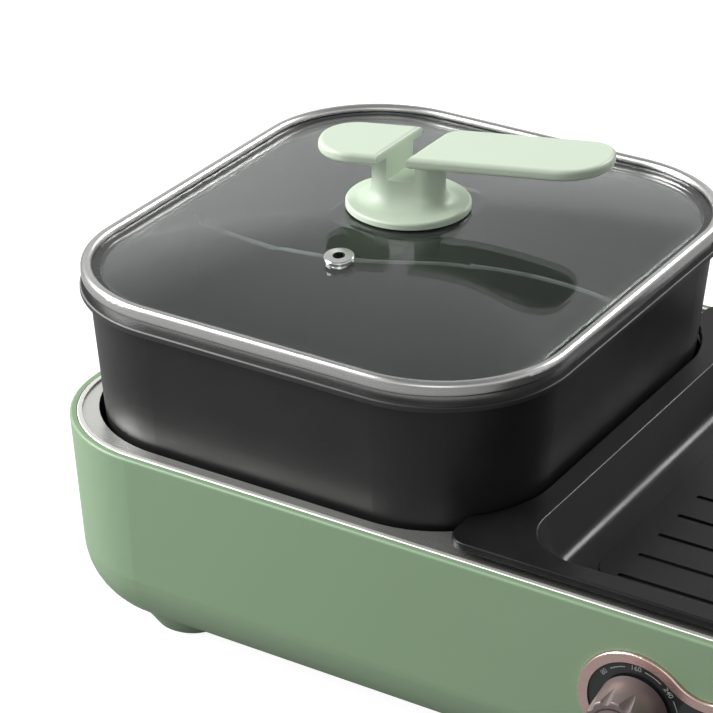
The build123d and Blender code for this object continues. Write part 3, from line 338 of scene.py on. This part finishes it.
def smoked_glass():
    """Tempered lid glass, lightly tinted: faint wash marks, and a satin border where it bends."""
    finish = Finish("lid_tint", (0.74, 0.80, 0.765), 0.0, Transmission_Weight=0.985, IOR=1.45)
    marks = finish.band(finish.noise(30, detail=5.0), 0.45, 0.8)
    past_x = (finish.axis("X") - LID_CENTRE.x).math("ABSOLUTE") - GLASS_CLEAR_X
    past_y = (finish.axis("Y") - LID_CENTRE.y).math("ABSOLUTE") - GLASS_CLEAR_Y
    border = finish.band(past_x.math("MAXIMUM", past_y), 0.0, GLASS_BORDER)
    finish.feed("Roughness", marks * 0.025 + border * 0.16 + 0.005)
    return finish


def amber_lens():
    """Moulded lens with a fine lens grid."""
    finish = Finish("lens_amber", (0.80, 0.30, 0.06), 0.15, Transmission_Weight=0.5, IOR=1.49)
    grid = finish.cells(0.8, randomness=0.0)
    finish.tint(grid * 0.4, (0.45, 0.12, 0.02))
    finish.relief(grid, 0.05)
    return finish


def pale_ink():
    """Printed ink of the dials, thinner and duller in places."""
    finish = Finish("dial_ink", (0.40, 0.44, 0.42), 0.5)
    finish.tint(finish.noise(0.5, detail=3.0) * 0.8, (0.22, 0.26, 0.25))
    finish.feed("Roughness", finish.noise(0.8) * 0.3 + 0.35)
    return finish


# A finish for each of the record's material slots.
FINISHES = {
    "sage_plastic": moulded("sage_moulding", SAGE, 0.40, grain=0.30, depth=0.008),
    "mint_plastic": moulded("mint_moulding", MINT, 0.42, grain=0.25, depth=0.005),
    "grey_plastic": moulded("grey_moulding", (0.075, 0.076, 0.078), 0.55, grain=0.5, depth=0.03),
    "dark_plastic": moulded("black_moulding", (0.02, 0.02, 0.021), 0.45, grain=0.4, depth=0.02),
    "foot_rubber": moulded("foot_rubber_grain", (0.028,) * 3, 0.75, grain=0.6, depth=0.05),
    "seal_rubber": moulded("seal_rubber_grain", (0.04,) * 3, 0.6, grain=0.5, depth=0.02),
    "wire_rubber": moulded("lead_silicone", (0.42, 0.40, 0.37), 0.5, grain=0.5, depth=0.02),
    "deck_steel": deck_steel(),
    "polished_steel": ring_steel(),
    "sheet_aluminium": brushed("sheet_brushing", (0.66,) * 3, 0.34, (0.03, 1, 0.03)),
    "screw_steel": brushed("screw_plating", (0.55, 0.55, 0.54), 0.28, (1, 1, 1)),
    "terminal_steel": brushed("terminal_plating", (0.60, 0.57, 0.50), 0.30, (1, 1, 0.1)),
    "bright_chrome": brushed("vent_chrome", (0.82,) * 3, 0.12, (1, 1, 1), depth=0.002),
    "rose_metal": brushed("rose_plating", (0.95, 0.67, 0.62), 0.28, (0.05, 1, 1), depth=0.001),
    "nonstick_aluminium": coated("griddle_coating", shade(CHARCOAL, 0.65), 0.34, specular=0.22),
    "cast_aluminium": turned("heating_face", (0.52,) * 3, 0.40, pitch=0.9, centre=LID_CENTRE),
    "heater_steel": sheathed("heater_sheath", (0.15, 0.12, 0.10), hot=(0.10, 0.11, 0.13)),
    "bronze_metal": bronze(),
    "black_gloss": gloss_panel(),
    "smoked_glass": smoked_glass(),
    "amber_lens": amber_lens(),
}
DIAL_INK = pale_ink()

slots = {part["node"]: part["material_slot"] for part in frame["record"]["subparts"]}
for name, solid in frame["nodes"].items():
    solid.data.materials.clear()
    solid.data.materials.append(FINISHES[slots[name]].material)

frame["nodes"]["hot_pot"].data.materials[0] = worn_pot_with_painted_highlights().material


# ---------------------------------------------------------------- pieces
def finished_piece(name, mesh, place, body, slot, finish=None):
    """Turns a bmesh into an object that rides on a body, in its slot's finish or its own."""
    bmesh.ops.recalc_face_normals(mesh, faces=mesh.faces)
    mesh.transform(place)
    data = bpy.data.meshes.new(name)
    mesh.to_mesh(data)
    mesh.free()
    data.materials.append((finish or FINISHES[slot]).material)
    piece = bpy.data.objects.new(name, data)
    bpy.context.scene.collection.objects.link(piece)
    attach(piece, body)
    return piece


def bridge(mesh, lower, upper):
    """Skin between two loops with the same number of points."""
    for i, vert in enumerate(lower):
        j = (i + 1) % len(lower)
        mesh.faces.new((vert, lower[j], upper[j], upper[i]))


# ---------------------------------------------------------------- dial prints
KNOB_X = 0.031
PANEL_TILT = radians(4)
PANEL_Y, PANEL_Z = -0.122381, 0.0604
PANEL_PROUD = 0.6 * MM
PANEL = Matrix((
    (1, 0, 0, 0),
    (0, -sin(PANEL_TILT), -cos(PANEL_TILT), PANEL_Y - PANEL_PROUD * cos(PANEL_TILT)),
    (0, cos(PANEL_TILT), -sin(PANEL_TILT), PANEL_Z - PANEL_PROUD * sin(PANEL_TILT)),
    (0, 0, 0, 1),
))
PRINT_HEIGHT = 0.04 * MM
PRINT_REACH = 18.6 * MM
NUMERAL_SIZE = 3.3 * MM
STROKE_WIDTH = 0.42 * MM
STROKE_STEPS = 12
OFF_WIDTH = 1.6 * MM
# Degrees round a knob, from +X towards the top.
NUMERALS = ((139, "80"), (90, "160"), (40, "240"))
STROKES = ((78, 54), (127, 105), (28, 6))
OFF_MARK = 225
OFF_SPREAD = 1.6


def add_numeral(mesh, knob_x, angle, text):
    """Sets a number on the panel at an angle round a knob, its foot towards the knob."""
    lettering = bpy.data.curves.new("dial_numeral", "FONT")
    lettering.body = text
    lettering.size = NUMERAL_SIZE
    lettering.align_x = lettering.align_y = "CENTER"
    lettering.extrude = PRINT_HEIGHT / 2
    holder = bpy.data.objects.new("dial_numeral", lettering)
    flat = bpy.data.meshes.new_from_object(holder)
    before = set(mesh.verts)
    mesh.from_mesh(flat)
    out = Matrix.Translation((0, PRINT_REACH, 0))
    turn = Matrix.Rotation(radians(angle - 90), 4, "Z")
    place = Matrix.Translation((knob_x, 0, PRINT_HEIGHT / 2)) @ turn @ out
    added = [vert for vert in mesh.verts if vert not in before]
    bmesh.ops.transform(mesh, matrix=place, verts=added)
    bpy.data.objects.remove(holder)


def add_stroke(mesh, knob_x, start, end, width):
    """Closed slab of print height along an arc round a knob, between two angles."""
    rows = []
    for step in range(STROKE_STEPS + 1):
        angle = radians(start + (end - start) * step / STROKE_STEPS)
        inner, outer = ((knob_x + reach * cos(angle), reach * sin(angle))
                        for reach in (PRINT_REACH - width / 2, PRINT_REACH + width / 2))
        rows.append([mesh.verts.new((*point, height)) for point, height in
                     ((inner, 0), (outer, 0), (outer, PRINT_HEIGHT), (inner, PRINT_HEIGHT))])
    for row, after in zip(rows, rows[1:]):
        bridge(mesh, row, after)
    mesh.faces.new(reversed(rows[0]))
    mesh.faces.new(rows[-1])


def dial_print(name, knob_x):
    """Numbers and strokes printed round one knob, with a short mark where it is off."""
    mesh = bmesh.new()
    for angle, text in NUMERALS:
        add_numeral(mesh, knob_x, angle, text)
    for start, end in STROKES:
        add_stroke(mesh, knob_x, start, end, STROKE_WIDTH)
    add_stroke(mesh, knob_x, OFF_MARK - OFF_SPREAD, OFF_MARK + OFF_SPREAD, OFF_WIDTH)
    finished_piece(name, mesh, PANEL, "base", "black_gloss", DIAL_INK)


dial_print("pot_dial_print", -KNOB_X)
dial_print("grill_dial_print", KNOB_X)


# ---------------------------------------------------------------- cross-recess screws
SCREW_SIDES = 40
COVER_SCREW = {"head_radius": 3.4 * MM, "head_height": 1.2 * MM,
               "shank_radius": 1.6 * MM, "shank_length": 3.8 * MM}
COVER_HEAD_Z = 8.5 * MM
COVER_COLUMNS = (-0.205, -0.205 / 3, 0.205 / 3, 0.205)
COVER_ROWS = (-0.078, 0.078)
INLET_SCREW = {"head_radius": 2.6 * MM, "head_height": 0.8 * MM,
               "shank_radius": 1.5 * MM, "shank_length": 6.0 * MM}
INLET_X, INLET_Y, INLET_Z = 0.250, 0.138515, 0.040
INLET_FLANGE = 2.5 * MM
INLET_SCREW_X = 0.02475


def ring_of(mesh, radius, height):
    """Loop of points round the Z axis, at a radius and a height."""
    angles = (2 * pi * i / SCREW_SIDES for i in range(SCREW_SIDES))
    return [mesh.verts.new((radius * cos(angle), radius * sin(angle), height)) for angle in angles]


def add_screw(mesh, place, head_radius, head_height, shank_radius, shank_length):
    """Screw whose head stands on z = 0 and has a tapered cross recess in its face.

    Its bevel, point and recess are shares of the head's and the shank's sizes."""
    start = set(mesh.verts)
    seat = ring_of(mesh, head_radius, 0)
    shoulder = ring_of(mesh, head_radius, head_height * 0.7)
    face = ring_of(mesh, head_radius * 0.88, head_height)
    neck = ring_of(mesh, shank_radius, 0)
    tip = ring_of(mesh, shank_radius, -shank_length * 0.9)
    point = ring_of(mesh, shank_radius * 0.6, -shank_length)
    for lower, upper in ((seat, shoulder), (shoulder, face),
                         (neck, seat), (tip, neck), (point, tip)):
        bridge(mesh, lower, upper)
    mesh.faces.new(reversed(point))
    half, arm = head_radius * 0.13, head_radius * 0.62
    cross = [(arm, -half), (arm, half), (half, half),
             (half, arm), (-half, arm), (-half, half),
             (-arm, half), (-arm, -half), (-half, -half),
             (-half, -arm), (half, -arm), (half, -half)]
    mouth = [mesh.verts.new((x, y, head_height)) for x, y in cross]
    floor = [mesh.verts.new((x * 0.7, y * 0.7, head_height * 0.25)) for x, y in cross]
    bridge(mesh, floor, mouth)
    mesh.faces.new(floor)
    rim = [mesh.edges.get((loop[i - 1], loop[i]))
           for loop in (face, mouth) for i in range(len(loop))]
    bmesh.ops.triangle_fill(mesh, edges=rim, use_beauty=True)
    added = [vert for vert in mesh.verts if vert not in start]
    bmesh.ops.transform(mesh, matrix=place, verts=added)


def cross_screws(name, node, places, sizes):
    """Screws that stand for a node of plain ones."""
    mesh = bmesh.new()
    for place in places:
        add_screw(mesh, place, **sizes)
    screws = finished_piece(name, mesh, Matrix(), "base", "screw_steel")
    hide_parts(node)


def cover_seats():
    """Places for the cover's screws, each turned a little further than the last."""
    low, high = (Vector(corner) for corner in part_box("cover_screws"))
    centre = (low + high) / 2
    down = Matrix.Translation((0, 0, COVER_HEAD_Z)) @ Matrix.Rotation(pi, 4, "X")
    places = []
    for column in COVER_COLUMNS:
        for row in COVER_ROWS:
            spot = Matrix.Translation((centre.x + column, centre.y + row, 0))
            places.append(spot @ down @ Matrix.Rotation(len(places) * 0.8, 4, "Z"))
    return places


def inlet_seat(side):
    """Place for the screw at one side of the inlet, on its tilted flange."""
    face = (INLET_Y + INLET_FLANGE * cos(PANEL_TILT), INLET_Z - INLET_FLANGE * sin(PANEL_TILT))
    spot = Matrix.Translation((INLET_X + side * INLET_SCREW_X, *face))
    backward = Matrix.Rotation(-pi / 2 - PANEL_TILT, 4, "X")
    return spot @ backward @ Matrix.Rotation(0.4 + side * 0.3, 4, "Z")


cross_screws("cover_cross_screws", "cover_screws", cover_seats(), COVER_SCREW)
cross_screws("inlet_cross_screws", "inlet_screws", [inlet_seat(-1), inlet_seat(1)], INLET_SCREW)


# ---------------------------------------------------------------- probe's spring
COIL_TURNS = 5.5
COIL_STEPS = 36
COIL_RADIUS = 7 * MM
WIRE_RADIUS = 0.5 * MM
WIRE_SEAT = 1.05 * WIRE_RADIUS
# Pitch of the first and last turns, as a share of the others'.
CLOSED_PITCH = 0.25


def coil_height(turn):
    """Share of the coil's height at a turn; the first and last turns lie nearly closed."""
    ends = CLOSED_PITCH * (min(turn, 1.0) + max(turn - (COIL_TURNS - 1), 0.0))
    middle = min(max(turn, 1.0), COIL_TURNS - 1) - 1
    return (ends + middle) / (2 * CLOSED_PITCH + COIL_TURNS - 2)


def probe_coil():
    """Compression spring with closed ends."""
    low, high = (Vector(corner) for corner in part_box("probe_spring"))
    centre = (low + high) / 2
    wire = bpy.data.curves.new("probe_coil", "CURVE")
    wire.dimensions = "3D"
    wire.bevel_depth = WIRE_RADIUS
    wire.bevel_resolution = 3
    wire.use_fill_caps = True
    path = wire.splines.new("POLY")
    steps = int(COIL_TURNS * COIL_STEPS)
    path.points.add(steps)
    for step, point in enumerate(path.points):
        turn = step * COIL_TURNS / steps
        angle = 2 * pi * turn
        rise = (high.z - low.z - 2 * WIRE_SEAT) * coil_height(turn)
        point.co = (centre.x + COIL_RADIUS * cos(angle), centre.y + COIL_RADIUS * sin(angle),
                    low.z + WIRE_SEAT + rise, 1)
    holder = bpy.data.objects.new("probe_coil", wire)
    mesh = bmesh.new()
    mesh.from_mesh(bpy.data.meshes.new_from_object(holder))
    bpy.data.objects.remove(holder)
    for face in mesh.faces:
        face.smooth = True
    coil = finished_piece("probe_coil", mesh, Matrix(), "base", "terminal_steel")
    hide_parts("probe_spring")
    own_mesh(coil)


probe_coil()


# ---------------------------------------------------------------- studio
WHITE = (1, 1, 1)
BLACK = (0, 0, 0)
# Pairs of a sine of the angle above the horizon and the sky's grey there.
SKY = ((0.0, 0.45), (0.42, 0.85), (0.80, 0.28))
# The sky's strength where it lights a dull surface.
PLAIN_SKY = 0.5
FLOOR_GREY = (0.30, 0.30, 0.30)
FLOOR_REACH = 14.0
# How white the floor shows, and the share of it that mirrored rays see.
FLOOR_GLOW = 0.92
FLOOR_MIRROR = 0.05
# The camera's angles, the point on the lid that it is placed from, and its steps from there.
CAMERA_TURN, CAMERA_RISE, CAMERA_ROLL = radians(31.181), radians(27.331), radians(0.393)
CAMERA_AIM = Vector((*LID_CENTRE.xy, 0.1469))
CAMERA_RIGHT, CAMERA_UP, CAMERA_BACK = -0.02259, -0.03425, 1.3137
CAMERA_SENSOR, CAMERA_LENS = 36.0, 149.04


def seen_rays(board, mirror_share):
    """1 for the camera's rays and those through glass, and a share for mirrored ones."""
    camera, glossy, through = (board.node("LightPath", output=kind) for kind in
                               ("Is Camera Ray", "Is Glossy Ray", "Is Transmission Ray"))
    return (camera + through + glossy * mirror_share).clamp()


def studio_floor():
    """Pale floor that keeps the shadow and shows as white."""
    mesh = bpy.data.meshes.new("studio_floor")
    corners = [(x * FLOOR_REACH, y * FLOOR_REACH, 0)
               for x, y in ((-1, -1), (1, -1), (1, 1), (-1, 1))]
    mesh.from_pydata(corners, [], [(0, 1, 2, 3)])
    floor = bpy.data.objects.new("studio_floor", mesh)
    bpy.context.scene.collection.objects.link(floor)
    finish = Finish("floor_white", FLOOR_GREY, 0.9, Specular_IOR_Level=0.0)
    finish.feed("Emission Color", finish.blend(seen_rays(finish, FLOOR_MIRROR), BLACK, WHITE))
    finish.shader.inputs["Emission Strength"].default_value = FLOOR_GLOW
    mesh.materials.append(finish.material)


def studio_world():
    """White to the camera and through glass, a graded sky in metal, and half of it as light."""
    world = bpy.data.worlds.new("studio")
    world.use_nodes = True
    bpy.context.scene.world = world
    board = Board(world.node_tree)
    direction = board.node("TexCoord", output="Generated")
    height = board.node("SeparateXYZ", {}, {0: direction}, output="Z")
    sky = board.node("ValToRGB", {"stops": SKY}, {"Fac": height})
    background = board.tree.nodes["Background"]
    shown = board.blend(seen_rays(board, 0.0), sky, WHITE)
    strength = seen_rays(board, 1.0) * (1 - PLAIN_SKY) + PLAIN_SKY
    board.tree.links.new(shown.socket, background.inputs["Color"])
    board.tree.links.new(strength.socket, background.inputs["Strength"])


def softbox(name, place, target, width, height, watts):
    """Area lamp that faces a target."""
    lamp = bpy.data.lights.new(name, "AREA")
    lamp.shape = "RECTANGLE"
    lamp.size, lamp.size_y = width, height
    lamp.energy = watts
    box = bpy.data.objects.new(name, lamp)
    bpy.context.scene.collection.objects.link(box)
    box.location = place
    box.rotation_mode = "QUATERNION"
    box.rotation_quaternion = (Vector(target) - Vector(place)).to_track_quat("-Z", "Y")


def aim_camera():
    """Long-lens camera above the cook's right shoulder, looking at the lid."""
    back = Vector((sin(CAMERA_TURN) * cos(CAMERA_RISE), -cos(CAMERA_TURN) * cos(CAMERA_RISE),
                   sin(CAMERA_RISE)))
    level_right = (-back).cross(Vector((0, 0, 1))).normalized()
    level_up = level_right.cross(-back)
    right = level_right * cos(CAMERA_ROLL) + level_up * sin(CAMERA_ROLL)
    up = level_up * cos(CAMERA_ROLL) - level_right * sin(CAMERA_ROLL)
    place = CAMERA_AIM + CAMERA_RIGHT * right + CAMERA_UP * up + CAMERA_BACK * back
    lens = bpy.data.cameras.new("cook_view")
    lens.sensor_width = CAMERA_SENSOR
    lens.lens = CAMERA_LENS
    lens.clip_start, lens.clip_end = 0.05, 50.0
    camera = bpy.data.objects.new("cook_view", lens)
    bpy.context.scene.collection.objects.link(camera)
    camera.matrix_world = Matrix((
        (right.x, up.x, back.x, place.x),
        (right.y, up.y, back.y, place.y),
        (right.z, up.z, back.z, place.z),
        (0, 0, 0, 1),
    ))
    bpy.context.scene.camera = camera


studio_floor()
studio_world()
softbox("key_left", (-1.7, -0.75, 1.3), (-0.1, 0, 0.1), width=1.3, height=1.3, watts=62)
softbox("left_near", (-1.15, -0.55, 0.42), (-0.33, -0.08, 0.06), width=0.6, height=0.4, watts=2.2)
softbox("back_strip", (0.35, 1.55, 1.25), (0, 0, 0.1), width=0.7, height=0.4, watts=22)
softbox("front_fill", (0.9, -2.2, 1.2), (0, 0, 0.1), width=1.4, height=0.9, watts=5)
aim_camera()
bpy.context.scene.view_settings.view_transform = "Standard"
